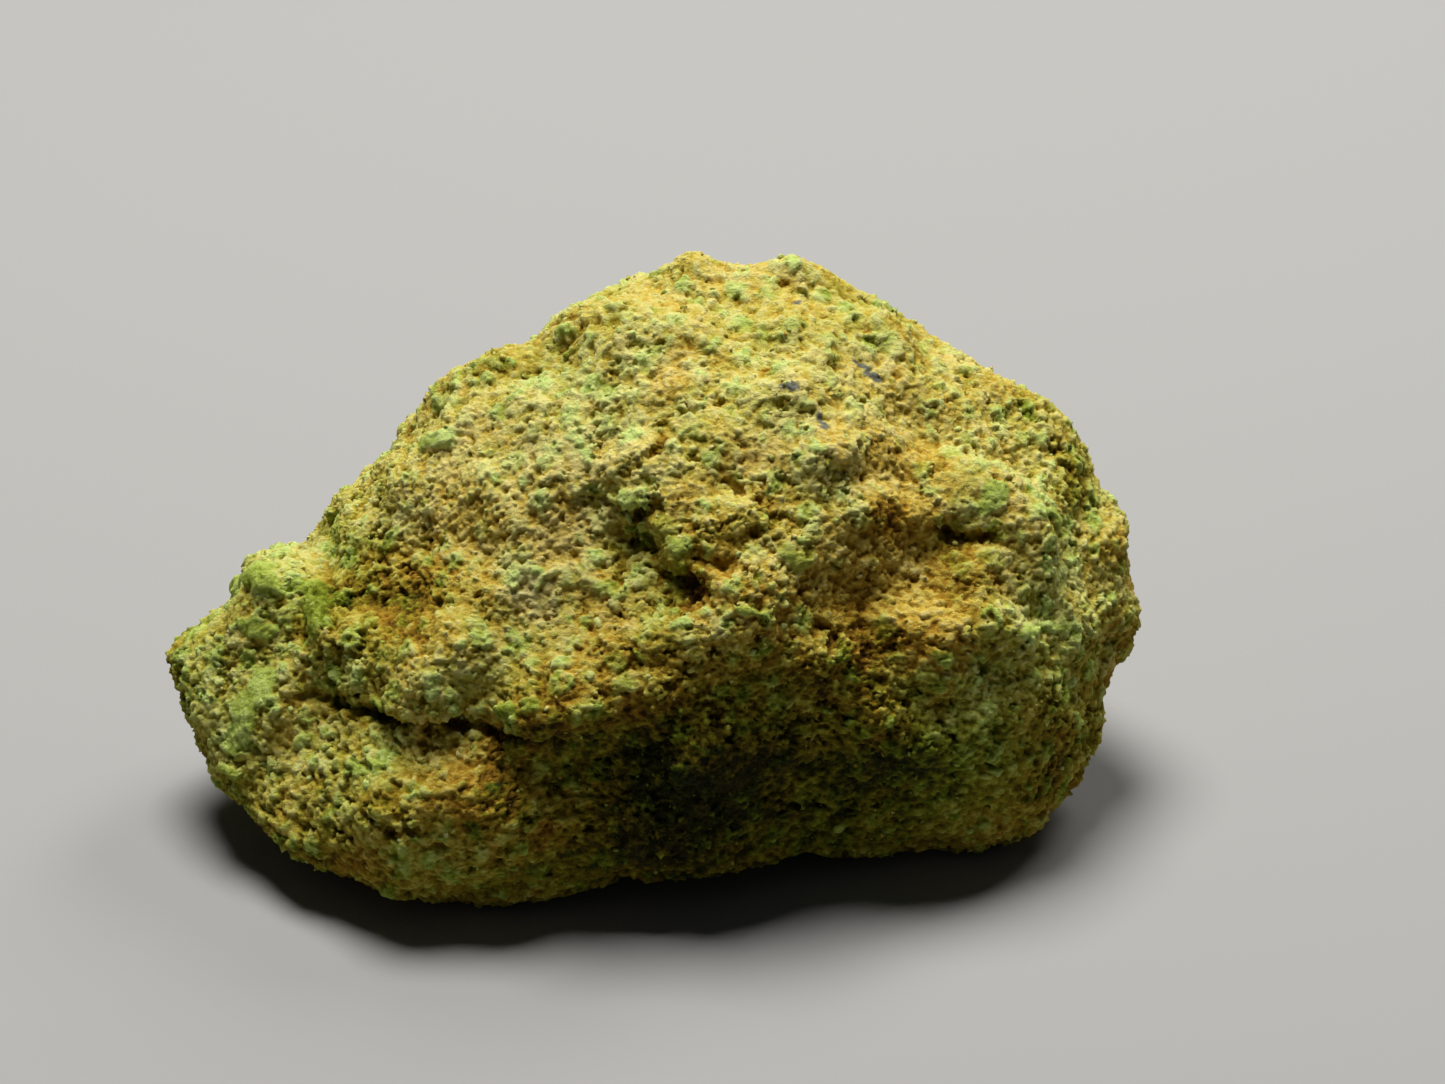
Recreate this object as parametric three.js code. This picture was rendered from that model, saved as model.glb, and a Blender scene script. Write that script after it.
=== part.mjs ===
// A raw lump of earthy gaspeite: one broken, weathered stone, lying on four worn feet.
// Millimetres. +X runs to the blunt end, +Y to the back, +Z up. The origin is under the middle of
// the stone, on the surface that it rests on.
//
// The form is a skin drawn over landmarks that were measured on the stone, seen from a heart point
// inside it. Knobs, grooves and pits are then raised and sunk in the skin, and a crumbly crust is
// laid over everything.

import * as THREE from "three";
import { mergeVertices } from "three/addons/utils/BufferGeometryUtils.js";
import { ImprovedNoise } from "three/addons/math/ImprovedNoise.js";

// Driving dimensions.
const HALF_LENGTH = 12; // the egg that the facets start from
const HALF_DEPTH = 7.2;
const HALF_HEIGHT = 6.3;
const HEART_HEIGHT = 5.5; // of the heart point above the resting surface
const LEAN = THREE.MathUtils.degToRad(32); // how far the broad front face leans back from upright

// How the surface is drawn.
const FACETS = 19; // cuts along each edge of the starting icosahedron
const WELD = 1e-4; // vertices closer than this are one
const ROUNDING = 0.1; // how softly the skin turns over a landmark, as a share of its distance
const EVENING_ROUNDS = 60; // of the facets, over the bare skin
const WEAR = 0.5; // how far each round of wear moves a vertex towards the middle of its neighbours
const SKIN_WEAR = 2; // rounds that take the sharpest folds off the bare skin
const CRUST_WEAR = 1; // rounds over the finished crust
const LUMP_MEAN = 0.5; // what the crust's lumps stand out on average, taken off again

// The outline of the broad front face, clockwise from the pointed end:
// across, up the lean, and out towards the front.
const OUTLINE = [
  [-12.0, -2.0, 0.5],
  [-11.4, -1.1, 0.3],
  [-9.7, -0.2, 0.3],
  [-8.1, 1.15, 0.4],
  [-6.1, 3.5, 0.5],
  [-4.4, 5.1, 0.5],
  [-2.7, 5.9, 0.4],
  [-2.2, 6.7, 0.4],
  [-0.2, 7.3, 0.5],
  [2.1, 7.35, 0.5],
  [3.5, 7.65, 0.5],
  [4.8, 6.9, 0.4],
  [6.0, 6.6, 0.2],
  [8.2, 5.4, 0.0],
  [10.15, 3.7, -0.4],
  [11.05, 1.45, -0.6],
  [12.0, -0.5, -0.6],
  [11.6, -2.6, -0.5],
  [11.2, -4.0, -0.2],
  [9.9, -5.8, 0.3],
  [8.2, -6.6, 0.8],
  [6.8, -6.9, 0.9],
  [4.8, -6.8, 1.2],
  [2.6, -7.15, 1.9],
  [0.6, -7.1, 2.0],
  [-1.4, -7.4, 2.1],
  [-2.8, -8.0, 2.6],
  [-4.2, -8.0, 2.6],
  [-5.8, -7.5, 2.0],
  [-8.2, -7.1, 1.6],
  [-9.4, -6.2, 1.4],
  [-10.6, -5.1, 1.1],
  [-11.2, -3.3, 0.8],
];

// Points on the front face: across, up the lean, and out.
const FRONT = [
  // the broad slope under the top edge
  [-0.1, 6.0, 2.8],
  [3.5, 5.8, 2.9],
  [5.4, 5.1, 2.8],
  [6.8, 4.3, 2.1],
  [-2.2, 3.8, 3.4],
  [1.1, 3.5, 4.8],
  [4.4, 3.5, 4.2],
  [-4.3, 1.9, 3.5],
  [-0.4, 2.4, 4.6],
  [2.5, 1.8, 5.4],
  [3.9, 0.6, 5.3],
  // the steep band across it
  [-7.5, -0.2, 2.6],
  [-6.2, -0.2, 3.1],
  [-3.2, 0.5, 4.2],
  [-1.2, 0.6, 4.6],
  [1.1, 0.6, 5.7],
  // the shelf under the band
  [-8.6, -1.7, 2.5],
  [-7.4, -1.9, 3.0],
  [-6.0, -1.7, 4.0],
  [-4.6, -1.6, 4.8],
  [-2.4, -1.3, 5.1],
  [-0.3, -1.4, 5.6],
  [1.2, -1.2, 6.0],
  [2.6, -0.9, 5.9],
  [3.9, -1.4, 5.3],
  // the lip where the shelf ends
  [-7.5, -3.0, 3.1],
  [-6.0, -3.1, 4.5],
  [-4.6, -3.0, 4.7],
  [-3.1, -3.2, 5.4],
  [-1.7, -3.0, 5.5],
  [-0.3, -3.2, 5.5],
  [1.2, -2.2, 5.9],
  [2.5, -2.0, 5.6],
  [4.0, -2.4, 4.8],
  // the steep wall under the lip
  [-3.1, -5.0, 4.7],
  [-1.7, -4.2, 4.8],
  [-0.3, -4.9, 4.4],
  [1.1, -4.2, 4.9],
  [2.5, -4.5, 4.3],
  [3.9, -4.3, 3.7],
  [-2.4, -6.6, 3.8],
  [-0.3, -6.4, 3.6],
  [1.8, -6.4, 3.3],
  [4.2, -5.8, 2.8],
  // the low lobe at the pointed end
  [-7.6, -4.3, 3.3],
  [-6.0, -4.3, 4.4],
  [-7.4, -5.8, 3.4],
  [-5.8, -6.0, 4.5],
  [-4.4, -6.0, 4.5],
  [-5.2, -6.9, 4.1],
  [-9.4, -4.6, 2.5],
  // the valley beside the nose
  [5.6, 3.0, 3.7],
  [5.5, 1.0, 4.2],
  [5.4, -1.0, 4.3],
  [5.4, -2.8, 4.2],
  [5.6, -4.6, 3.1],
  // the swelling at the blunt end
  [7.7, 2.8, 2.6],
  [8.1, 1.9, 3.4],
  [8.1, 0.9, 3.5],
  [7.0, 0.6, 3.7],
  [9.7, 0.9, 1.9],
  [9.7, -0.6, 2.5],
  [8.4, -0.8, 3.9],
  [6.9, -2.4, 4.0],
  [8.4, -2.8, 3.8],
  [9.8, -1.9, 2.8],
  [7.0, -4.4, 3.2],
  [8.4, -4.4, 3.1],
  [9.9, -4.2, 2.4],
  [7.2, -5.9, 2.0],
];

// Points on the back: across, back, and height above the resting surface.
const BACK = [
  [-4.0, 5.6, 8.0],
  [1.0, 6.7, 9.5],
  [6.0, 5.9, 8.0],
  [9.5, 4.0, 6.0],
  [-8.5, 3.0, 4.2],
  [-10.5, 1.6, 3.8],
  [-4.0, 6.9, 5.0],
  [0.5, 7.6, 5.5],
  [5.0, 7.2, 4.5],
  [9.0, 5.0, 3.2],
  [-7.6, 3.4, 1.8],
  [-3.5, 6.0, 1.5],
  [1.5, 6.4, 1.7],
  [6.3, 5.3, 1.4],
  [10.0, 2.0, 1.9],
];

// Points on the underside, in the same way. Those below the surface are the feet, which the
// surface cuts off flat.
const UNDERSIDE = [
  [-5.0, 3.6, -0.5],
  [4.6, 4.0, -0.6],
  [7.1, -3.7, -0.4],
  [-3.6, -5.3, -0.5],
  [-9.3, 0.3, 1.8],
  [-7.2, -2.8, 0.7],
  [-6.6, 0.8, 1.0],
  [-3.2, -1.4, 0.9],
  [0.3, 0.2, 1.2],
  [-0.2, -3.6, 0.9],
  [3.4, -3.0, 1.0],
  [4.4, 0.4, 1.0],
  [-0.2, 3.6, 1.0],
  [7.8, 0.6, 1.0],
];

// Knobs: across, up the lean, out, how wide, and how high.
const KNOBS = [
  [-9.8, -0.2, 1.2, 0.9, 0.4], // the green knob above the pointed end
  [-10.2, 0.1, 0.2, 0.7, 0.45],
  [-8.3, -0.5, 2.0, 0.9, 0.3],
  [1.0, 7.9, 0.6, 0.6, 1.0], // the two small peaks on the top edge
  [3.7, 7.8, 0.6, 0.6, 0.7],
  [-2.0, 6.4, 1.0, 0.9, 0.35],
  [10.7, 3.2, -0.2, 0.9, 0.5],
  [8.8, 4.9, 0.0, 0.9, 0.3],
  [8.1, 1.9, 3.1, 0.9, 0.4], // the green-edged block on the blunt end
  [12.0, -0.6, 0.0, 1.0, 0.2],
  [-9.5, -3.3, 2.2, 1.2, 0.25],
  [4.6, 4.9, 3.6, 1.1, 0.2],
  [1.4, -1.2, 6.0, 1.0, 0.15], // the nose
];

// Grooves, from one point to another: two points (across, up the lean, out), width and depth.
const GROOVES = [
  [[-8.6, -2.7, 2.6], [-5.8, -3.7, 4.4], 0.5, 0.15], // the crack above the low lobe
  [[-5.8, -3.7, 4.4], [-2.6, -4.1, 5.0], 0.6, 0.25],
  [[-2.6, -4.1, 5.0], [0.6, -4.1, 5.0], 0.7, 0.2],
  [[5.7, 4.2, 3.4], [5.9, -0.4, 4.2], 1.0, 0.3], // the valley floor
  [[8.1, -1.9, 4.0], [8.3, -2.5, 3.9], 0.7, 0.2], // a hollow in the blunt end
  [[-1.3, 1.5, 4.3], [-0.3, 0.4, 4.8], 0.7, 0.4], // the pitted patch on the slope
  [[0.3, -0.2, 5.5], [1.3, -0.5, 5.8], 0.6, 0.5], // the cave beside the nose
  [[7.2, 0.9, 3.6], [8.4, 0.6, 3.3], 0.6, 0.3], // under the block
  [[-8.9, -0.4, 2.2], [-8.6, -1.2, 2.4], 0.6, 0.3], // the hollows by the green knob
  [[-6.6, -0.3, 3.0], [-5.8, -0.2, 3.2], 0.6, 0.3],
  [[9.3, -3.9, 1.2], [10.6, -1.6, 0.8], 0.7, 0.2],
];

// The crumbly crust: the size of its lumps and how far they stand out, coarse to fine.
const CRUST = [
  [5.2, 0.38],
  [2.6, 0.46],
  [1.5, 0.46],
];

const noise = new ImprovedNoise();

// A point measured on the leaning face, in the upright frame about the heart.
function leaning(across, up, out) {
  const back = up * Math.sin(LEAN) - out * Math.cos(LEAN);
  const height = up * Math.cos(LEAN) + out * Math.sin(LEAN);
  return new THREE.Vector3(across, back, height);
}

function upright(across, back, height) {
  return new THREE.Vector3(across, back, height - HEART_HEIGHT);
}

// Solves a square set of linear equations; each row ends with its right-hand side.
function solve(rows) {
  const n = rows.length;
  for (let c = 0; c < n; c++) {
    let pivot = c;
    for (let r = c + 1; r < n; r++) {
      if (Math.abs(rows[r][c]) > Math.abs(rows[pivot][c])) pivot = r;
    }
    [rows[c], rows[pivot]] = [rows[pivot], rows[c]];
    for (let r = c + 1; r < n; r++) {
      const share = rows[r][c] / rows[c][c];
      for (let k = c; k <= n; k++) rows[r][k] -= share * rows[c][k];
    }
  }
  const found = new Array(n).fill(0);
  for (let r = n - 1; r >= 0; r--) {
    let sum = rows[r][n];
    for (let k = r + 1; k < n; k++) sum -= rows[r][k] * found[k];
    found[r] = sum / rows[r][r];
  }
  return found;
}

// The distance of the skin from the heart in any direction, as a function that passes through
// every landmark and turns softly between them.
function skinOver(landmarks) {
  const ways = landmarks.map((p) => p.clone().normalize());
  const pull = (a, b) => Math.hypot(a.distanceTo(b), ROUNDING);
  const rows = ways.map((a, i) => [...ways.map((b) => pull(a, b)), 1, landmarks[i].length()]);
  rows.push([...ways.map(() => 1), 0, 0]);
  const weights = solve(rows);
  const level = weights.pop();
  return (way) => weights.reduce((sum, w, i) => sum + w * pull(way, ways[i]), level);
}

const landmarks = [
  ...OUTLINE.map((p) => leaning(...p)),
  ...FRONT.map((p) => leaning(...p)),
  ...BACK.map((p) => upright(...p)),
  ...UNDERSIDE.map((p) => upright(...p)),
];
const skin = skinOver(landmarks);

// The point of the skin that lies in a direction from the heart.
function onSkin(toward) {
  const way = toward.clone().normalize();
  return way.multiplyScalar(skin(way));
}

const knobs = KNOBS.map(([across, up, out, width, height]) => ({
  at: onSkin(leaning(across, up, out)),
  width,
  height,
}));

const grooves = GROOVES.map(([from, to, width, depth]) => ({
  line: new THREE.Line3(onSkin(leaning(...from)), onSkin(leaning(...to))),
  width,
  depth,
}));

// A bump's height at a distance from its middle, as a share of its full height.
const swell = (distance, width) => Math.exp(-((distance / width) ** 2));

// How far the surface stands out from the skin at a point of the skin.
function relief(p) {
  let height = 0;
  for (const knob of knobs) {
    height += knob.height * swell(p.distanceTo(knob.at), knob.width);
  }
  const nearest = new THREE.Vector3();
  for (const groove of grooves) {
    groove.line.closestPointToPoint(p, true, nearest);
    height -= groove.depth * swell(p.distanceTo(nearest), groove.width);
  }
  // Lumps with sharp valleys between them, which is how a crumbly crust weathers.
  for (const [size, rise] of CRUST) {
    const wave = noise.noise(p.x / size + size, p.y / size, p.z / size);
    height += rise * (2 * Math.abs(wave) - LUMP_MEAN);
  }
  return height;
}

// Moves each vertex towards the larger facets around it and back to the skin, so that the facets
// come out even.
function evenOut(points, index) {
  for (let round = 0; round < EVENING_ROUNDS; round++) {
    const sums = points.map(() => new THREE.Vector3());
    const weights = points.map(() => 0);
    for (let i = 0; i < index.length; i += 3) {
      const corners = index.slice(i, i + 3);
      const facet = new THREE.Triangle(...corners.map((c) => points[c]));
      const area = facet.getArea();
      const pull = facet.getMidpoint(new THREE.Vector3()).multiplyScalar(area);
      for (const corner of corners) {
        sums[corner].add(pull);
        weights[corner] += area;
      }
    }
    points = sums.map((sum, i) => onSkin(sum.divideScalar(weights[i])));
  }
  return points;
}

// Moves each vertex towards the middle of its neighbours.
function wear(points, index, rounds) {
  const neighbours = points.map(() => new Set());
  for (let i = 0; i < index.length; i += 3) {
    const [a, b, c] = index.slice(i, i + 3);
    neighbours[a].add(b).add(c);
    neighbours[b].add(a).add(c);
    neighbours[c].add(a).add(b);
  }
  for (let round = 0; round < rounds; round++) {
    points = points.map((p, i) => {
      const middle = new THREE.Vector3();
      for (const n of neighbours[i]) middle.add(points[n]);
      return p.clone().lerp(middle.divideScalar(neighbours[i].size), WEAR);
    });
  }
  return points;
}

function stoneGeometry() {
  const ball = new THREE.IcosahedronGeometry(1, FACETS);
  ball.deleteAttribute("normal");
  ball.deleteAttribute("uv");
  const geometry = mergeVertices(ball, WELD);
  const position = geometry.getAttribute("position");
  const index = Array.from(geometry.index.array);
  const egg = new THREE.Vector3(HALF_LENGTH, HALF_DEPTH, HALF_HEIGHT);
  let points = [];
  for (let i = 0; i < position.count; i++) {
    points.push(onSkin(new THREE.Vector3().fromBufferAttribute(position, i).multiply(egg)));
  }
  points = wear(evenOut(points, index), index, SKIN_WEAR);
  points.forEach((p, i) => position.setXYZ(i, ...p));
  geometry.computeVertexNormals();
  const normal = geometry.getAttribute("normal");
  points = points.map((p, i) => {
    const outward = new THREE.Vector3().fromBufferAttribute(normal, i);
    return p.clone().addScaledVector(outward, relief(p));
  });
  points = wear(points, index, CRUST_WEAR);
  // The feet are worn flat where they rest.
  points.forEach((p, i) => position.setXYZ(i, p.x, p.y, Math.max(p.z, -HEART_HEIGHT)));
  geometry.computeBoundingBox();
  const box = geometry.boundingBox;
  const middle = box.getCenter(new THREE.Vector3());
  geometry.translate(-middle.x, -middle.y, -box.min.z);
  geometry.computeVertexNormals();
  return geometry;
}

const earthyGreen = new THREE.MeshStandardMaterial({
  color: new THREE.Color(0.55, 0.53, 0.24),
  roughness: 0.95,
  metalness: 0,
});

const stone = new THREE.Mesh(stoneGeometry(), earthyGreen);
stone.name = "gaspeite_stone";

const part = new THREE.Group();
part.add(stone);

export default part;
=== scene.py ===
"""The looks of a raw lump of earthy gaspeite: a crumbly crust, loose grains and nodules grown over it,
and its colours. Shapes are worked out in millimetres and become metres as they turn into pieces.
The frame is the CAD stone's: +X right, +Y back, +Z up."""

import math

import bpy
import numpy as np
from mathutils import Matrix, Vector
from mathutils.bvhtree import BVHTree


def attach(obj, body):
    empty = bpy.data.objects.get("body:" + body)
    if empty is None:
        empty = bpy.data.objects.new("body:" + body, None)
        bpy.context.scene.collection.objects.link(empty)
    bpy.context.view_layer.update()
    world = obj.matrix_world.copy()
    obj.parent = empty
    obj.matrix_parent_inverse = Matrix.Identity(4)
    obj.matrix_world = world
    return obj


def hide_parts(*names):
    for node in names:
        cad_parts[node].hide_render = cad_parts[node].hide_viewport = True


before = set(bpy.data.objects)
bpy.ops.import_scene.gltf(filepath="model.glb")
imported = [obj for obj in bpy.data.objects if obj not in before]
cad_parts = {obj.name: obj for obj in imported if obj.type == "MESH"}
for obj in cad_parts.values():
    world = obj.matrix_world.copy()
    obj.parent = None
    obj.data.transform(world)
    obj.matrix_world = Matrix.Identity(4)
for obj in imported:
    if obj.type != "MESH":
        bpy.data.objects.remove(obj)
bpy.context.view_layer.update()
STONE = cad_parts["gaspeite_stone"]
MM = 0.001

# ---------------------------------------------------------------- camera

PHOTO_SIZE = (1445, 1084)
PIXEL = 0.0246  # millimetres of stone to each pixel of the photo
ELEVATION = math.radians(32)
DISTANCE = 110
AIM = Vector((1.65, 0.30, 6.18))
SENSOR = 36.0  # Blender's own sensor width, in millimetres

ACROSS = Vector((1, 0, 0))
UP = Vector((0, math.sin(ELEVATION), math.cos(ELEVATION)))
AHEAD = Vector((0, math.cos(ELEVATION), -math.sin(ELEVATION)))
EYE = AIM - AHEAD * DISTANCE


def make_camera():
    data = bpy.data.cameras.new("camera")
    data.sensor_width = SENSOR
    data.lens = SENSOR * DISTANCE / (PHOTO_SIZE[0] * PIXEL)
    data.clip_start = 1 * MM
    data.clip_end = 10.0
    camera = bpy.data.objects.new("camera", data)
    camera.location = EYE * MM
    camera.rotation_euler = (math.pi / 2 - ELEVATION, 0, 0)
    bpy.context.collection.objects.link(camera)
    bpy.context.scene.camera = camera


def through(pixel):
    """The direction in which the camera sees a pixel of the photo."""
    across = (pixel[0] - PHOTO_SIZE[0] / 2) * PIXEL
    down = (pixel[1] - PHOTO_SIZE[1] / 2) * PIXEL
    return (AHEAD * DISTANCE + ACROSS * across - UP * down).normalized()


make_camera()

# ---------------------------------------------------------------- noise

# The last number that each noise takes is its seed, which may be any whole number.
FAR = 1000  # moves every coordinate above zero, before it is cut into whole numbers
TEN_BITS = 1023


def scrambled(number):
    """Whole numbers with their bits mixed up."""
    number = (number ^ (number >> np.uint32(15))) * np.uint32(2246822519)
    number = (number ^ (number >> np.uint32(13))) * np.uint32(3266489917)
    return number ^ (number >> np.uint32(16))


def lattice(corner, seed):
    """A fixed random whole number for each whole-number point of space."""
    x, y, z = corner.astype(np.uint32).T
    hashed = x * np.uint32(73856093) ^ y * np.uint32(19349663) ^ z * np.uint32(83492791)
    return scrambled(hashed ^ np.uint32(seed * 40503 + 12345))


def chance_of(number):
    """A whole number of 32 bits as one from 0 to 1."""
    return number / 0xFFFFFFFF


def waves(points, size, seed):
    """Smooth noise from -1 to 1 whose lumps are about size across."""
    scaled = points / size + FAR
    corner = np.floor(scaled)
    part = scaled - corner
    part = part * part * (3 - 2 * part)
    total = np.zeros(len(points))
    for step in np.ndindex(2, 2, 2):
        share = np.prod(np.abs(1 - np.array(step) - part), axis=1)
        total += share * chance_of(lattice(corner + step, seed))
    return 2 * total - 1


def clouds(points, size, octaves, seed):
    """Noise with finer and finer noise on it."""
    steps = range(octaves)
    return sum(0.6**step * waves(points, size / 2**step, seed + step) for step in steps)


def cells(points, size, seed):
    """The distance to the nearest of a scatter of seeds about size apart, and that seed's chance."""
    scaled = points / size + FAR
    corner = np.floor(scaled)
    nearest = np.full(len(points), np.inf)
    owner = np.zeros(len(points), dtype=np.uint32)
    for step in np.ndindex(3, 3, 3):
        cell = corner + step - 1
        number = lattice(cell, seed)
        parts = [(number >> np.uint32(shift)) & np.uint32(TEN_BITS) for shift in (0, 10, 20)]
        inside = np.stack(parts, 1) / TEN_BITS
        distance = np.sum((cell + inside - scaled) ** 2, axis=1)
        closer = distance < nearest
        nearest[closer] = distance[closer]
        owner[closer] = number[closer]
    return np.sqrt(nearest) * size, chance_of(scrambled(owner))


def crumbs(points, size, seed):
    """Rounded crumbs packed side by side: 0 in the gaps, up to 1 on their tops; and each one's chance."""
    distance, chance = cells(points, size, seed)
    dome = np.sqrt(np.clip(1 - (distance / (0.78 * size)) ** 2, 0, 1))
    return dome * (0.25 + 0.75 * chance), chance


def tufts(points, size, seed):
    """Tufts about size apart, of all widths: 0 between them, 1 on their tops; and each one's chance."""
    distance, chance = cells(points, size, seed)
    dome = np.sqrt(np.clip(1 - (distance / (size * (0.12 + 0.55 * chance))) ** 2, 0, 1))
    return dome, 7 * chance % 1


def strayed(points, size, reach, seed):
    """The points, each moved a little one way or another, so that what is drawn on them is ragged."""
    return points + reach * np.stack([waves(points, size, seed + axis) for axis in range(3)], 1)


# ---------------------------------------------------------------- meshes


def new_piece(name, vertices, faces, material):
    """A mesh object from arrays of vertices and of faces."""
    mesh = bpy.data.meshes.new(name)
    corners = faces.shape[1]
    mesh.vertices.add(len(vertices))
    mesh.vertices.foreach_set("co", (vertices * MM).astype(np.float32).ravel())
    mesh.loops.add(faces.size)
    mesh.loops.foreach_set("vertex_index", faces.astype(np.int32).ravel())
    mesh.polygons.add(len(faces))
    mesh.polygons.foreach_set("loop_start", np.arange(0, faces.size, corners, dtype=np.int32))
    mesh.polygons.foreach_set("use_smooth", np.full(len(faces), True))
    mesh.update(calc_edges=True)
    mesh.materials.append(material)
    piece = bpy.data.objects.new(name, mesh)
    bpy.context.collection.objects.link(piece)
    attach(piece, "root")
    return piece


def give(piece, name, values):
    """Stores a number at each vertex, for the material to read."""
    attribute = piece.data.attributes.new(name, "FLOAT", "POINT")
    attribute.data.foreach_set("value", values.astype(np.float32))


def normals_of(vertices, faces):
    """The outward direction at each vertex of faces of four corners, weighted by the faces' areas."""
    a, b, c, d = (vertices[faces[:, i]] for i in range(4))
    across = np.cross(b - a, c - a) + np.cross(c - a, d - a)
    total = np.zeros_like(vertices)
    for corner in faces.T:
        for axis in range(3):
            total[:, axis] += np.bincount(corner, across[:, axis], len(vertices))
    return total / np.linalg.norm(total, axis=1, keepdims=True)


SUBDIVISIONS = 3


def smooth_stone():
    """The CAD stone's surface, subdivided and rounded: its vertices and its faces of four corners."""
    mesh = STONE.data.copy()
    source = bpy.data.objects.new("smooth_stone", mesh)
    bpy.context.collection.objects.link(source)
    weld = source.modifiers.new("weld", "WELD")
    weld.merge_threshold = 0.001 * MM
    rounder = source.modifiers.new("rounder", "SUBSURF")
    rounder.levels = SUBDIVISIONS
    ready = source.evaluated_get(bpy.context.evaluated_depsgraph_get())
    finished = ready.to_mesh()
    vertices = np.empty(3 * len(finished.vertices), dtype=np.float32)
    finished.vertices.foreach_get("co", vertices)
    faces = np.empty(len(finished.loops), dtype=np.int32)
    finished.loops.foreach_get("vertex_index", faces)
    ready.to_mesh_clear()
    bpy.data.objects.remove(source)
    bpy.data.meshes.remove(mesh)
    return vertices.reshape(-1, 3).astype(np.float64) / MM, faces.reshape(-1, 4)


stone_vertices, stone_faces = smooth_stone()
sight = BVHTree.FromPolygons(stone_vertices.tolist(), stone_faces.tolist())


def seen_at(pixel):
    """The place on the stone that a pixel of the photo shows, and the outward direction there."""
    place, outward, _, _ = sight.ray_cast(EYE, through(pixel))
    return np.array(place), np.array(outward)


# ---------------------------------------------------------------- spots

# Places that stand out: pixel of the photo, radius on the stone, and strength.
GREEN_SPOTS = [
    ((190, 640), 3.2, 0.45),  # the pointed end
    ((1050, 640), 2.0, 0.4),  # the right edge
    ((975, 520), 0.45, 0.8),  # under the block's edge
    ((945, 548), 0.5, 0.5),
    ((240, 790), 0.9, 0.5),  # the low lobe's near end
    ((440, 690), 0.7, 0.4),  # the lip
    ((780, 710), 1.2, 0.6),  # the wall
    ((620, 810), 3.5, 0.5),
    ((950, 780), 2.2, 0.9),
    ((820, 830), 2.6, 0.6),
    ((340, 770), 1.5, 0.3),  # the low lobe
    ((455, 690), 0.9, 0.4),
    ((1050, 600), 1.0, 0.3),
    ((1080, 740), 1.2, 0.5),
    ((400, 520), 0.8, 0.4),
    ((640, 350), 0.7, 0.5),
    ((672, 362), 0.5, -0.6),  # yellow earth near the top
    ((664, 382), 0.5, -0.8),
    ((600, 620), 1.3, -0.5),  # ochre earth
    ((720, 590), 1.0, -0.5),
    ((690, 590), 0.6, -0.8),
    ((686, 495), 0.4, -0.8),
    ((450, 530), 1.2, -0.5),
    ((415, 580), 1.1, -0.2),
    ((620, 690), 1.0, -0.45),
    ((900, 480), 1.0, -0.6),
    ((890, 575), 1.6, -0.9),
    ((560, 700), 0.8, -0.5),
    ((555, 540), 1.0, -0.4),
    ((790, 612), 1.2, -0.6),
    ((660, 690), 0.8, -0.6),
    ((490, 752), 0.6, -0.6),
    ((340, 600), 0.8, -0.25),
    ((930, 640), 1.2, -0.7),
    ((500, 800), 1.4, -0.5),
    ((400, 850), 1.2, -0.3),
    ((765, 370), 0.12, -1.6),  # specks of rust
    ((896, 375), 0.16, -1.6),
    ((840, 458), 0.14, -1.4),
]
CLUMP_SPOTS = [
    ((630, 492), 0.7, 0.8),  # the pitted patch
    ((630, 550), 0.7, 0.9),
    ((700, 570), 0.6, 0.6),
    ((600, 560), 0.6, 0.5),
    ((620, 740), 1.6, 0.4),  # under the lip
    ((330, 760), 1.6, 0.35),  # the low lobe
    ((560, 620), 1.2, -0.7),  # plain earthy ground
    ((470, 540), 1.0, -0.5),
    ((740, 340), 2.4, -0.5),
    ((905, 560), 1.2, -0.5),
]
# Spots that make the earth's colour darker or paler: pixel, radius on the stone, and strength. The darker
# ones are painted shade, except the specks of rust, which are the stone's own colour; the paler ones are
# painted light.
PAINTED_SHADE_LIGHT_AND_RUST_SPOTS = [
    ((405, 610), 1.3, 0.42),  # painted shade in the hollows, under the lip and the block, and down the wall
    ((330, 595), 0.9, 0.28),
    ((190, 632), 0.7, 0.22),
    ((256, 581), 0.5, 0.12),
    ((690, 590), 0.5, 0.30),
    ((330, 840), 1.2, 0.10),
    ((490, 790), 0.9, 0.30),
    ((400, 790), 0.8, 0.15),
    ((530, 712), 0.8, 0.20),
    ((865, 645), 1.1, 0.22),
    ((700, 800), 3.2, 0.48),
    ((880, 770), 1.8, 0.28),
    ((1050, 770), 1.2, 0.25),
    ((950, 548), 0.45, 0.30),
    ((890, 515), 0.6, 0.22),
    ((965, 585), 0.9, 0.22),
    ((940, 462), 0.6, 0.16),
    ((1075, 475), 0.7, 0.22),
    ((500, 360), 0.7, 0.20),
    ((740, 330), 1.0, 0.08),
    ((1030, 395), 0.6, 0.15),
    ((765, 370), 0.12, 0.3),  # the specks of rust
    ((896, 375), 0.16, 0.3),
    ((840, 458), 0.14, 0.3),
    ((535, 588), 0.8, -0.20),  # painted light on the shelf, the slope, the lip and the blunt end
    ((570, 460), 1.6, -0.16),
    ((410, 515), 0.9, -0.14),
    ((640, 475), 0.8, -0.18),
    ((600, 510), 0.6, -0.16),
    ((840, 472), 0.7, -0.20),
    ((640, 355), 0.8, -0.18),
    ((790, 395), 0.8, -0.08),
    ((450, 435), 0.8, -0.16),
    ((345, 680), 0.6, -0.12),
    ((455, 688), 1.1, -0.14),
    ((715, 645), 0.8, -0.12),
    ((1045, 600), 1.4, -0.12),
    ((240, 735), 0.8, -0.14),
]
PALE_SPOTS = [
    ((522, 592), 0.30, 0.45),  # fluffy patches
    ((545, 615), 0.30, 0.45),
    ((562, 636), 0.22, 0.4),
    ((770, 455), 0.7, 0.25),
]

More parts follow.
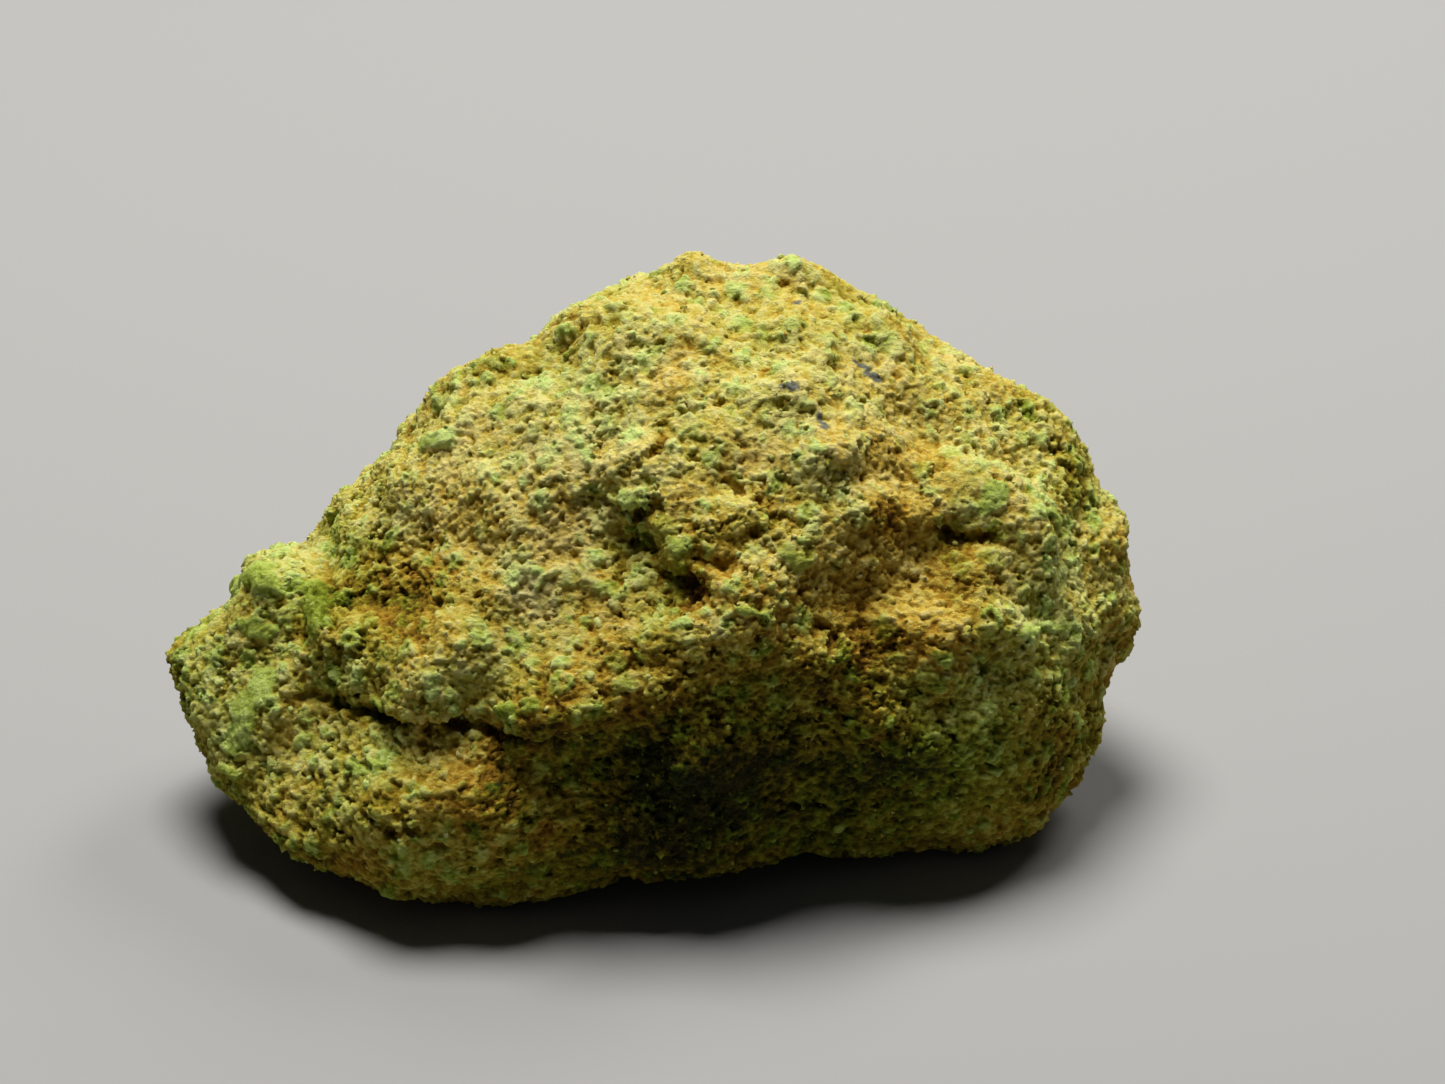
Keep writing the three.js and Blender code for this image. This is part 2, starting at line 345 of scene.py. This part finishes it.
# Bosses: the pixels that each runs between, its radius, how far it stands out, its green, and how
# smooth it is.
BOSSES = {
    "green_knob": ((242, 586), (268, 582), 0.40, 0.30, 2.2, 0.6),
    "knob_side": ((310, 588), (317, 622), 0.44, 0.12, 1.2, 0.35),
    "flat_patch": ((238, 735), (262, 682), 0.46, 0.04, 0.9, 0.5),
    "tip_rib": ((250, 624), (272, 630), 0.25, 0.10, 0.9, 0.5),
    "block_edge": ((996, 484), (984, 506), 0.30, 0.08, 1.5, 0.4),
    "block_ledge": ((950, 490), (972, 474), 0.45, 0.03, 0.1, 0.4),
    "sliver": ((834, 387), (866, 393), 0.10, 0.12, 0.1, 0.4),
    "shoulder": ((424, 442), (446, 438), 0.28, 0.10, 1.4, 0.4),
    "left": ((380, 546), (392, 536), 0.20, 0.10, 0.9, 0.4),
    "lip": ((498, 713), (508, 709), 0.24, 0.14, 1.3, 0.5),
    "lip_left": ((372, 703), (384, 706), 0.20, 0.12, 0.9, 0.5),
    "lobe_high": ((372, 763), (378, 767), 0.22, 0.14, 1.0, 0.5),
    "lobe_middle": ((298, 742), (304, 740), 0.18, 0.12, 0.5, 0.5),
    "lobe_left": ((226, 771), (234, 775), 0.22, 0.12, 1.0, 0.5),
    "rib": ((662, 525), (676, 560), 0.32, 0.22, 0.4, 0.3),
    "rib_high": ((615, 500), (640, 498), 0.26, 0.16, 0.8, 0.2),
    "rib_low": ((600, 585), (625, 592), 0.28, 0.12, 0.9, 0.2),
    "oval": ((790, 553), (798, 560), 0.28, 0.12, 0.9, 0.6),
    "nodule": ((639, 655), (640, 657), 0.12, 0.08, 1.0, 0.6),
    "bowl": ((540, 572), (544, 584), 0.16, 0.10, 1.2, 0.5),
    "nose": ((744, 609), (758, 613), 0.20, 0.14, 1.2, 0.5),
    "blunt_end": ((936, 657), (942, 662), 0.22, 0.14, 1.2, 0.5),
    "blunt_high": ((1052, 516), (1058, 522), 0.20, 0.12, 1.2, 0.4),
    "blunt_middle": ((986, 612), (1000, 626), 0.18, 0.10, 1.1, 0.4),
    "blunt_low": ((1024, 632), (1060, 626), 0.20, 0.08, 1.1, 0.4),
    "top_left": ((563, 330), (572, 327), 0.22, 0.10, 0.8, 0.4),
}

# Rough swellings: pixel, width and height.
SWELLINGS = [
    ((697, 262), 0.35, 0.12),  # the peaks on the top edge
    ((794, 266), 0.40, 0.12),
    ((345, 696), 0.50, 0.22),  # the lip above the crack
    ((395, 712), 0.50, 0.25),
    ((440, 716), 0.50, 0.18),
    ((690, 482), 0.50, 0.15),  # the slope above the nose
]

# Flakes of slate lying in the crust: the pixels that each runs between, and its radius.
FLAKES = [
    ((783, 384), (794, 388), 0.12),
    ((856, 362), (866, 370), 0.10),
    ((866, 374), (878, 380), 0.13),
    ((820, 417), (825, 426), 0.13),
    ((795, 300), (800, 301), 0.10),
]

# Clefts: the pixels that each runs through, its width and its depth.
CLEFTS = [
    ([(308, 695), (345, 704), (372, 716), (400, 724), (455, 723), (505, 737), (560, 741)], 0.15, 0.50),
    ([(365, 817), (396, 828), (430, 830)], 0.12, 0.25),
    ([(668, 578), (700, 600)], 0.30, 0.32),
    ([(695, 560), (725, 566)], 0.22, 0.30),
    ([(606, 562), (622, 552), (618, 580)], 0.16, 0.30),
    ([(612, 530), (628, 545), (645, 540)], 0.18, 0.32),
    ([(632, 515), (656, 507)], 0.14, 0.30),
    ([(655, 440), (648, 455)], 0.10, 0.25),
    ([(720, 480), (735, 492), (760, 500)], 0.12, 0.18),
    ([(655, 430), (652, 455)], 0.12, 0.20),
    ([(700, 540), (755, 535)], 0.14, 0.18),
    ([(838, 394), (866, 400)], 0.06, 0.15),
    ([(950, 535), (995, 540)], 0.20, 0.30),
    ([(296, 604), (304, 640)], 0.14, 0.20),
]


def spread(points, spots):
    """How much a table of spots adds at each point."""
    total = np.zeros(len(points))
    ragged = strayed(points, 0.35, 0.12, 71)
    for pixel, radius, strength in spots:
        distance = np.linalg.norm(ragged - seen_at(pixel)[0], axis=1)
        total += strength * np.exp(-((distance / radius) ** 2))
    return total


def off_line(points, pixels):
    """The distance of each point from a line that runs over the stone through some pixels."""
    places = [seen_at(pixel)[0] for pixel in pixels]
    nearest = np.full(len(points), np.inf)
    for start, end in zip(places, places[1:]):
        way = end - start
        share = np.clip((points - start) @ way / np.dot(way, way), 0, 1)
        distance = np.linalg.norm(points - start - share[:, None] * way, axis=1)
        nearest = np.minimum(nearest, distance)
    return nearest


def bosses_at(points):
    """How far the bosses stand out, how much they smooth the crust, and how green they are."""
    raised, smoothed, green = np.zeros((3, len(points)))
    ragged = strayed(strayed(points, 0.6, 0.16, 74), 0.2, 0.1, 84)
    for start, end, radius, height, own_green, own_smoothness in BOSSES.values():
        inside = np.clip(1 - (off_line(ragged, [start, end]) / radius) ** 2, 0, 1)
        raised = np.maximum(raised, height * inside**0.7)
        smoothed = np.maximum(smoothed, own_smoothness * np.clip(2 * inside, 0, 1))
        green = np.maximum(green, own_green * np.clip(2 * inside, 0, 1))
    return raised, smoothed, green


def slate_at(points):
    """1 on the flakes of slate, with ragged edges where the earth creeps over them."""
    ragged = strayed(points, 0.15, 0.05, 94)
    off = np.min([off_line(ragged, [start, end]) / radius for start, end, radius in FLAKES], axis=0)
    return np.clip(3 * (1 - off) + 1.2 * waves(points, 0.12, 97), 0, 1)


def clefts_at(points):
    """How deep the clefts are."""
    depths = np.zeros(len(points))
    ragged = strayed(strayed(points, 0.5, 0.14, 77), 0.2, 0.08, 87)
    for pixels, width, depth in CLEFTS:
        depths = np.maximum(depths, depth * np.exp(-((off_line(ragged, pixels) / width) ** 2)))
    return depths * np.clip(0.95 + 0.8 * waves(points, 0.6, 80), 0, 1)


def tint_at(points):
    """How green the stone is, from -1 for ochre to 1 for apple green."""
    tint = 0.24 + 0.25 * waves(points, 2.6, 61) + 0.22 * waves(points, 0.9, 62)
    return tint + spread(points, GREEN_SPOTS) + bosses_at(points)[2]


def painted_light_and_shade_at(points, outward):
    """How much paler or darker the earth is made: paler on what faces up, with painted shade and painted
    light from the spots.
    """
    return 0.2 * (outward[:, 2] - 0.5) - spread(points, PAINTED_SHADE_LIGHT_AND_RUST_SPOTS)


def clumped_at(points):
    """0 on plain earthy ground, up to 1 where crumbs stand in clumps with deep gaps between."""
    ragged = strayed(points, 0.5, 0.2, 17)
    return np.clip(0.5 + 0.8 * clouds(ragged, 1.4, 3, 18) + spread(points, CLUMP_SPOTS), 0, 1)


# ---------------------------------------------------------------- crust

# The crust's layers from coarse to fine: how big their lumps are, how far they stand out, in
# millimetres, and the middle of what crumbs and tufts give, which is taken off so that the stone
# doesn't grow.
BILLOW_SIZE, BILLOW_HEIGHT = 1.5, 0.06
LUMP_SIZE, LUMP_HEIGHT, LUMP_MIDDLE = 0.8, 0.07, 0.45
TUFT_SIZE, TUFT_HEIGHT, TUFT_MIDDLE = 0.55, 0.08, 0.3
GAP_SIZE, GAP_DEPTH = 0.36, 0.13
CRUMB_SIZE, CRUMB_HEIGHT, CRUMB_MIDDLE = 0.2, 0.042, 0.4
CLUMPED_CRUMB_HEIGHT = 0.02  # what clumps add to a crumb's height
NUB_SIZE, NUB_HEIGHT = 0.2, 0.036
GRIT_SIZE, GRIT_HEIGHT, GRIT_MIDDLE = 0.12, 0.05, 0.4
POWDER_SIZE, POWDER_HEIGHT = 0.11, 0.045


def moved_out(vertices, faces, distance):
    """The vertices, each moved outward by a distance of its own."""
    return vertices + normals_of(vertices, faces) * distance[:, None]


def crumbled(vertices, faces):
    """The crust's vertices, how high each stands in its surroundings, and how green its tuft makes it."""
    raised, smoothed, _ = bosses_at(vertices)
    rough = 1 - smoothed
    clumped = clumped_at(vertices)
    bent = strayed(vertices, 0.5, 0.16, 1)

    lumps, _ = crumbs(bent, LUMP_SIZE, 21)
    swell = BILLOW_HEIGHT * waves(vertices, BILLOW_SIZE, 11) + LUMP_HEIGHT * (lumps - LUMP_MIDDLE)
    cut = clefts_at(vertices)
    swollen = spread(vertices, SWELLINGS)
    lumpy = moved_out(vertices, faces, rough * swell + raised + swollen - cut)

    ragged = strayed(strayed(lumpy, 0.22, 0.12, 4), 0.11, 0.07, 7)
    gaps = GAP_DEPTH * np.clip(2.4 * clouds(ragged, GAP_SIZE, 3, 41) - 1.8 + 1.4 * clumped, 0, 1)
    tufted, tuft_chance = tufts(ragged, TUFT_SIZE, 26)
    small, own = crumbs(ragged, CRUMB_SIZE, 31)
    crumb_height = CRUMB_HEIGHT + CLUMPED_CRUMB_HEIGHT * clumped
    relief = TUFT_HEIGHT * (tufted - TUFT_MIDDLE) + crumb_height * (small - CRUMB_MIDDLE)
    relief = relief + NUB_HEIGHT * clouds(lumpy, NUB_SIZE, 3, 34)
    crumby = moved_out(lumpy, faces, rough * (relief - gaps))

    grit, _ = crumbs(strayed(crumby, GRIT_SIZE, 0.05, 57), GRIT_SIZE, 51)
    fine = GRIT_HEIGHT * (grit - GRIT_MIDDLE) + POWDER_HEIGHT * clouds(crumby, POWDER_SIZE, 2, 55)
    gritty = moved_out(crumby, faces, rough * fine)

    gritty[:, 2] = np.maximum(gritty[:, 2], 0)
    # The height sets the colour. The gaps and the clefts are made darker, partly the earth's own colour and
    # partly painted shade.
    height = 0.3 * swell + relief - 0.05 * (tufted - TUFT_MIDDLE) - 0.35 * gaps + fine
    height = rough * height - 0.3 * cut
    green = 1.7 * tufted * (0.2 + 0.8 * tuft_chance) - 0.52
    green = green + 0.6 * (own - 0.5) + 0.3 * (clumped - 0.5)
    return gritty, height, rough * green


# The axis and the sign of each side.
SIDES = {
    "left": (0, -1),
    "right": (0, 1),
    "front": (1, -1),
    "back": (1, 1),
    "under": (2, -1),
    "top": (2, 1),
}
MIDDLE = np.array([0, 0.3, 5.8])
REACH = np.array([15, 8, 6.8])
MARGIN = 0.02  # of the flat map, left free at its edges


def crust_pieces(smooth_vertices, vertices, faces, given, material):
    """The crust in six pieces, by the side of the stone that they face, each with a flat map of its own."""
    toward = (smooth_vertices - MIDDLE) / REACH
    facing = toward[faces].mean(axis=1)
    axis = np.abs(facing).argmax(axis=1)
    sign = np.sign(facing[np.arange(len(faces)), axis])
    pieces = []
    for side, (side_axis, side_sign) in SIDES.items():
        mine = faces[(axis == side_axis) & (sign == side_sign)]
        kept, renumbered = np.unique(mine, return_inverse=True)
        piece = new_piece("gaspeite_crust_" + side, vertices[kept], renumbered.reshape(-1, 4), material)
        for name, values in given.items():
            give(piece, name, values[kept])
        others = [other for other in range(3) if other != side_axis]
        angles = np.arctan2(toward[kept][:, others], np.abs(toward[kept][:, [side_axis]]))
        low, high = angles.min(axis=0), angles.max(axis=0)
        places = MARGIN + (1 - 2 * MARGIN) * (angles - low) / (high - low)
        layer = piece.data.uv_layers.new(name="OFBake")
        layer.data.foreach_set("uv", places[renumbered.ravel()].astype(np.float32).ravel())
        pieces.append(piece)
    return pieces


# ---------------------------------------------------------------- grains

GOLDEN = (1 + math.sqrt(5)) / 2


def icosahedron():
    """The corners and faces of a regular icosahedron of radius 1."""
    corners = []
    for a in (-1, 1):
        for b in (-GOLDEN, GOLDEN):
            corners += [(0, a, b), (a, b, 0), (b, 0, a)]
    corners = np.array(corners) / math.hypot(1, GOLDEN)
    edge = 2 / math.hypot(1, GOLDEN)
    near = np.abs(np.linalg.norm(corners[:, None] - corners[None], axis=2) - edge) < 1e-6
    faces = []
    for a in range(12):
        for b in range(a + 1, 12):
            for c in range(b + 1, 12):
                if near[a, b] and near[b, c] and near[a, c]:
                    across = np.cross(corners[b] - corners[a], corners[c] - corners[a])
                    outward = np.dot(across, corners[a])
                    faces.append((a, b, c) if outward > 0 else (a, c, b))
    return corners, np.array(faces)


def divided(corners, faces):
    """The ball with each face cut in four."""
    corners = [tuple(c) for c in corners]
    middles = {}

    def middle(a, b):
        key = (min(a, b), max(a, b))
        if key not in middles:
            point = np.array(corners[a]) + np.array(corners[b])
            middles[key] = len(corners)
            corners.append(tuple(point / np.linalg.norm(point)))
        return middles[key]

    cut = []
    for a, b, c in faces:
        ab, bc, ca = middle(a, b), middle(b, c), middle(c, a)
        cut += [(a, ab, ca), (b, bc, ab), (c, ca, bc), (ab, bc, ca)]
    return np.array(corners), np.array(cut)


GRAIN = icosahedron()
NODULE = divided(*GRAIN)


def scatter(vertices, faces, count, generator):
    """Random places on the surface, evenly by area, with the outward direction there."""
    triangles = np.concatenate([faces[:, [0, 1, 2]], faces[:, [0, 2, 3]]])
    a, b, c = (vertices[triangles[:, i]] for i in range(3))
    area = np.linalg.norm(np.cross(b - a, c - a), axis=1)
    picked = generator.choice(len(triangles), count, p=area / area.sum())
    u, v = generator.random((2, count))
    fold = u + v > 1
    u[fold], v[fold] = 1 - u[fold], 1 - v[fold]
    corners = triangles[picked]
    shares = np.stack([1 - u - v, u, v])

    def blended(values):
        return sum(shares[i][:, None] * values[corners[:, i]] for i in range(3))

    outward = blended(normals_of(vertices, faces))
    return blended(vertices), outward / np.linalg.norm(outward, axis=1, keepdims=True)


def turns(count, generator):
    """Random rotations, as matrices."""
    q = generator.normal(size=(count, 4))
    w, x, y, z = (q / np.linalg.norm(q, axis=1, keepdims=True)).T
    rows = [
        [1 - 2 * (y * y + z * z), 2 * (x * y - w * z), 2 * (x * z + w * y)],
        [2 * (x * y + w * z), 1 - 2 * (x * x + z * z), 2 * (y * z - w * x)],
        [2 * (x * z - w * y), 2 * (y * z + w * x), 1 - 2 * (x * x + y * y)],
    ]
    return np.moveaxis(np.array(rows), 2, 0)


def grow(name, shape, places, outward, sizes, sunk, roughness, material, generator):
    """A piece of many small lumps: one at each place, sunk into the surface by a share of its size."""
    corners, faces = shape
    count = len(places)
    drift = generator.uniform(0, 900, (count, 1, 3))
    bumps = waves((corners[None] * 1.2 + drift).reshape(-1, 3), 1.0, 81).reshape(count, -1)
    bumps = 1 + roughness * bumps + 0.4 * roughness * generator.uniform(-1, 1, bumps.shape)
    squash = generator.uniform(0.6, 1.25, (count, 1, 3))
    lumps = corners[None] * bumps[:, :, None] * squash
    lumps = np.einsum("nij,nkj->nki", turns(count, generator), lumps)
    centres = places - outward * (sunk * sizes)[:, None]
    vertices = centres[:, None] + lumps * sizes[:, None, None]
    vertices[:, :, 2] = np.maximum(vertices[:, :, 2], 0)
    joined = (faces[None] + len(corners) * np.arange(count)[:, None, None]).reshape(-1, 3)
    piece = new_piece(name, vertices.reshape(-1, 3), joined, material)
    # Each grain's colour: paler on its outward top and darker where it sinks into the crust, which is
    # painted shade, plus the painted shade and painted light of the place where it lies.
    raised = np.einsum("nki,ni->nk", lumps, outward)
    own = generator.normal(0.04, 0.14, (count, 1))
    painted_light_and_shade = painted_light_and_shade_at(places, outward)[:, None]
    give(piece, "height", np.clip(0.52 + own + 0.2 * raised + painted_light_and_shade, 0, 1).ravel())
    tint = tint_at(places) + generator.normal(0, 0.5, count)
    give(piece, "tint", np.repeat(np.clip(0.5 + 0.5 * tint, 0, 1), len(corners)))
    return piece


# ---------------------------------------------------------------- materials


def sheet_of_nodes(name):
    """A new material, its nodes, its links and its shader."""
    material = bpy.data.materials.new(name)
    material.use_nodes = True
    tree = material.node_tree
    shader = tree.nodes["Principled BSDF"]
    shader.inputs["Roughness"].default_value = 0.95
    shader.inputs["Specular IOR Level"].default_value = 0.15
    return material, tree.nodes, tree.links, shader


def noise_node(nodes, links, size, detail=3.0, rough=0.6):
    """Noise whose lumps are about size millimetres across, over the stone's own coordinates."""
    place = nodes.new("ShaderNodeTexCoord")
    texture = nodes.new("ShaderNodeTexNoise")
    texture.inputs["Scale"].default_value = 1 / (size * MM)
    texture.inputs["Detail"].default_value = detail
    texture.inputs["Roughness"].default_value = rough
    links.new(place.outputs["Object"], texture.inputs["Vector"])
    return texture.outputs["Fac"]


def ramp_node(nodes, links, value, stops):
    """Colours along a value: stops are (position, colour)."""
    ramp = nodes.new("ShaderNodeValToRGB")
    elements = ramp.color_ramp.elements
    while len(elements) < len(stops):
        elements.new(0.5)
    for element, (position, colour) in zip(elements, stops):
        element.position = position
        element.color = (*colour, 1)
    links.new(value, ramp.inputs["Fac"])
    return ramp.outputs["Color"]


def mixed(nodes, links, share, low, high):
    """Two colours mixed by a share."""
    mix = nodes.new("ShaderNodeMix")
    mix.data_type = "RGBA"
    links.new(share, mix.inputs["Factor"])
    links.new(low, mix.inputs["A"])
    links.new(high, mix.inputs["B"])
    return mix.outputs["Result"]


def swayed(nodes, links, value, noise, by):
    """A value moved up and down by noise, at most by so much."""
    centred = nodes.new("ShaderNodeMath")
    centred.operation = "MULTIPLY_ADD"
    links.new(noise, centred.inputs[0])
    centred.inputs[1].default_value = 2 * by
    links.new(value, centred.inputs[2])
    lowered = nodes.new("ShaderNodeMath")
    lowered.operation = "SUBTRACT"
    links.new(centred.outputs["Value"], lowered.inputs[0])
    lowered.inputs[1].default_value = by
    return lowered.outputs["Value"]


def bumped(nodes, links, shader, size, depth):
    """Fine relief in the shader's normal."""
    bump = nodes.new("ShaderNodeBump")
    bump.inputs["Distance"].default_value = depth * MM
    bump.inputs["Strength"].default_value = 1.0
    links.new(noise_node(nodes, links, size, 4.0, 0.7), bump.inputs["Height"])
    links.new(bump.outputs["Normal"], shader.inputs["Normal"])


def attribute_node(nodes, name):
    """A number that each vertex holds."""
    read = nodes.new("ShaderNodeAttribute")
    read.attribute_name = name
    return read.outputs["Fac"]


# Each earth's colours, from the bottoms of its gaps to the tops of its crumbs, and the heights where they
# lie. The darkest stops, at the bottoms of the gaps, are partly the earth's own colour and partly painted
# shade.
DEPTHS = (0.0, 0.15, 0.38, 0.56, 0.80)
OCHRE_EARTH = (
    (0.045, 0.023, 0.004),
    (0.17, 0.078, 0.005),
    (0.42, 0.235, 0.018),
    (0.62, 0.450, 0.070),
    (0.73, 0.60, 0.20),
)
STRAW_EARTH = (
    (0.030, 0.026, 0.005),
    (0.13, 0.092, 0.004),
    (0.35, 0.275, 0.018),
    (0.55, 0.50, 0.085),
    (0.69, 0.66, 0.23),
)
GREEN_EARTH = (
    (0.012, 0.019, 0.004),
    (0.05, 0.064, 0.003),
    (0.20, 0.245, 0.012),
    (0.39, 0.485, 0.075),
    (0.56, 0.68, 0.20),
)
PALE_EARTH = (
    (0.12, 0.10, 0.04),
    (0.25, 0.20, 0.07),
    (0.44, 0.37, 0.15),
    (0.57, 0.505, 0.21),
    (0.66, 0.61, 0.31),
)
SLATE = [(0.3, (0.045, 0.046, 0.036)), (0.7, (0.18, 0.185, 0.145))]

MOTTLE_SIZE, MOTTLE_SHARE = 0.12, 0.30  # how far small mottling moves a point's height
PATCH_SIZE, PATCH_SHARE = 0.3, 0.22  # how far small patches move its tint
BUMP_SIZE, BUMP_DEPTH = 0.09, 0.10


def earth_material():
    """The colour goes by how high a point stands among the crumbs, and by how green the stone is there."""
    material, nodes, links, shader = sheet_of_nodes("earth")
    mottle = noise_node(nodes, links, MOTTLE_SIZE, 5.0, 0.75)
    height = swayed(nodes, links, attribute_node(nodes, "height"), mottle, MOTTLE_SHARE)
    ochre, straw, green, pale = (
        ramp_node(nodes, links, height, list(zip(DEPTHS, earth)))
        for earth in (OCHRE_EARTH, STRAW_EARTH, GREEN_EARTH, PALE_EARTH)
    )
    patches = noise_node(nodes, links, PATCH_SIZE, 3.0, 0.6)
    tint = swayed(nodes, links, attribute_node(nodes, "tint"), patches, PATCH_SHARE)
    warm = ramp_node(nodes, links, tint, [(0.1, (1, 1, 1)), (0.5, (0, 0, 0))])
    cool = ramp_node(nodes, links, tint, [(0.5, (0, 0, 0)), (1.0, (1, 1, 1))])
    colour = mixed(nodes, links, warm, straw, ochre)
    colour = mixed(nodes, links, cool, colour, green)
    colour = mixed(nodes, links, attribute_node(nodes, "pale"), colour, pale)
    slate = ramp_node(nodes, links, height, SLATE)
    colour = mixed(nodes, links, attribute_node(nodes, "slate"), colour, slate)
    links.new(colour, shader.inputs["Base Color"])
    bumped(nodes, links, shader, BUMP_SIZE, BUMP_DEPTH)
    return material


# ---------------------------------------------------------------- the stone

generator = np.random.default_rng(7)
EARTH = earth_material()
MEAN_HEIGHT = 0.56  # where level crust lies on the earth's heights
HEIGHT_SPAN = 0.30  # millimetres of crust from the lowest to the highest
GRAIN_COUNT = 6000  # before the bosses and the bare patches lose theirs
GRAIN_RADIUS, GRAIN_EXTRA = 0.03, 0.05  # the smallest one's, and how much more the largest one has
NODULE_COUNT = 260
NODULE_RADIUS, NODULE_EXTRA = 0.08, 0.08

crust_vertices, crust_height, tuft_green = crumbled(stone_vertices, stone_faces)
# Painted shade and painted light for the crust's colour, and paler colour on what faces up.
painted_light_and_shade = painted_light_and_shade_at(stone_vertices, normals_of(stone_vertices, stone_faces))
given = {
    "height": np.clip(MEAN_HEIGHT + crust_height / HEIGHT_SPAN + painted_light_and_shade, 0, 1),
    "tint": np.clip(0.5 + 0.5 * (tint_at(stone_vertices) + tuft_green), 0, 1),
    "pale": np.clip(spread(stone_vertices, PALE_SPOTS), 0, 1),
    "slate": slate_at(stone_vertices),
}
for piece in crust_pieces(stone_vertices, crust_vertices, stone_faces, given, EARTH):
    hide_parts("gaspeite_stone")

places, outward = scatter(crust_vertices, stone_faces, GRAIN_COUNT, generator)
kept = generator.random(len(places)) > 2 * bosses_at(places)[1] + 0.35 + 0.6 * waves(places, 1.6, 91)
places, outward = places[kept], outward[kept]
sizes = GRAIN_RADIUS + GRAIN_EXTRA * generator.random(len(places)) ** 1.6
grow("grains", GRAIN, places, outward, sizes, 0.3, 0.8, EARTH, generator)

places, outward = scatter(crust_vertices, stone_faces, NODULE_COUNT, generator)
sizes = NODULE_RADIUS + NODULE_EXTRA * generator.random(len(places)) ** 2
grow("nodules", NODULE, places, outward, sizes, 0.5, 0.4, EARTH, generator)

# ---------------------------------------------------------------- floor and light


FLOOR_REACH = 2.0  # metres from its middle to its edges
FLOOR_COLOUR = (0.32, 0.32, 0.315, 1)
FLOOR_ROUGHNESS = 0.9


def make_floor():
    mesh = bpy.data.meshes.new("floor")
    signs = [(-1, -1), (1, -1), (1, 1), (-1, 1)]
    mesh.from_pydata([(x * FLOOR_REACH, y * FLOOR_REACH, 0) for x, y in signs], [], [(0, 1, 2, 3)])
    material, _, _, shader = sheet_of_nodes("floor")
    shader.inputs["Base Color"].default_value = FLOOR_COLOUR
    shader.inputs["Roughness"].default_value = FLOOR_ROUGHNESS
    mesh.materials.append(material)
    floor = bpy.data.objects.new("floor", mesh)
    bpy.context.collection.objects.link(floor)


LIGHT_COLOUR = (1.0, 0.98, 0.95)
WORLD_STRENGTH = 0.03


def area_light(name, place, size, power):
    """A round light, with its place and size in metres and its power in watts, turned to the stone."""
    data = bpy.data.lights.new(name, "AREA")
    data.shape = "DISK"
    data.size = size
    data.energy = power
    data.color = LIGHT_COLOUR
    light = bpy.data.objects.new(name, data)
    light.location = place
    light.rotation_euler = (AIM * MM - Vector(place)).to_track_quat("-Z", "Y").to_euler()
    bpy.context.collection.objects.link(light)


def make_world():
    world = bpy.data.worlds.new("studio")
    world.use_nodes = True
    background = world.node_tree.nodes["Background"]
    background.inputs["Color"].default_value = (1, 1, 1, 1)
    background.inputs["Strength"].default_value = WORLD_STRENGTH
    bpy.context.scene.world = world


make_floor()
area_light("key", (-0.02, 0.055, 0.20), 0.10, 0.62)
area_light("right", (0.091, 0.108, 0.147), 0.08, 0.16)
make_world()
bpy.context.scene.view_settings.view_transform = "Standard"
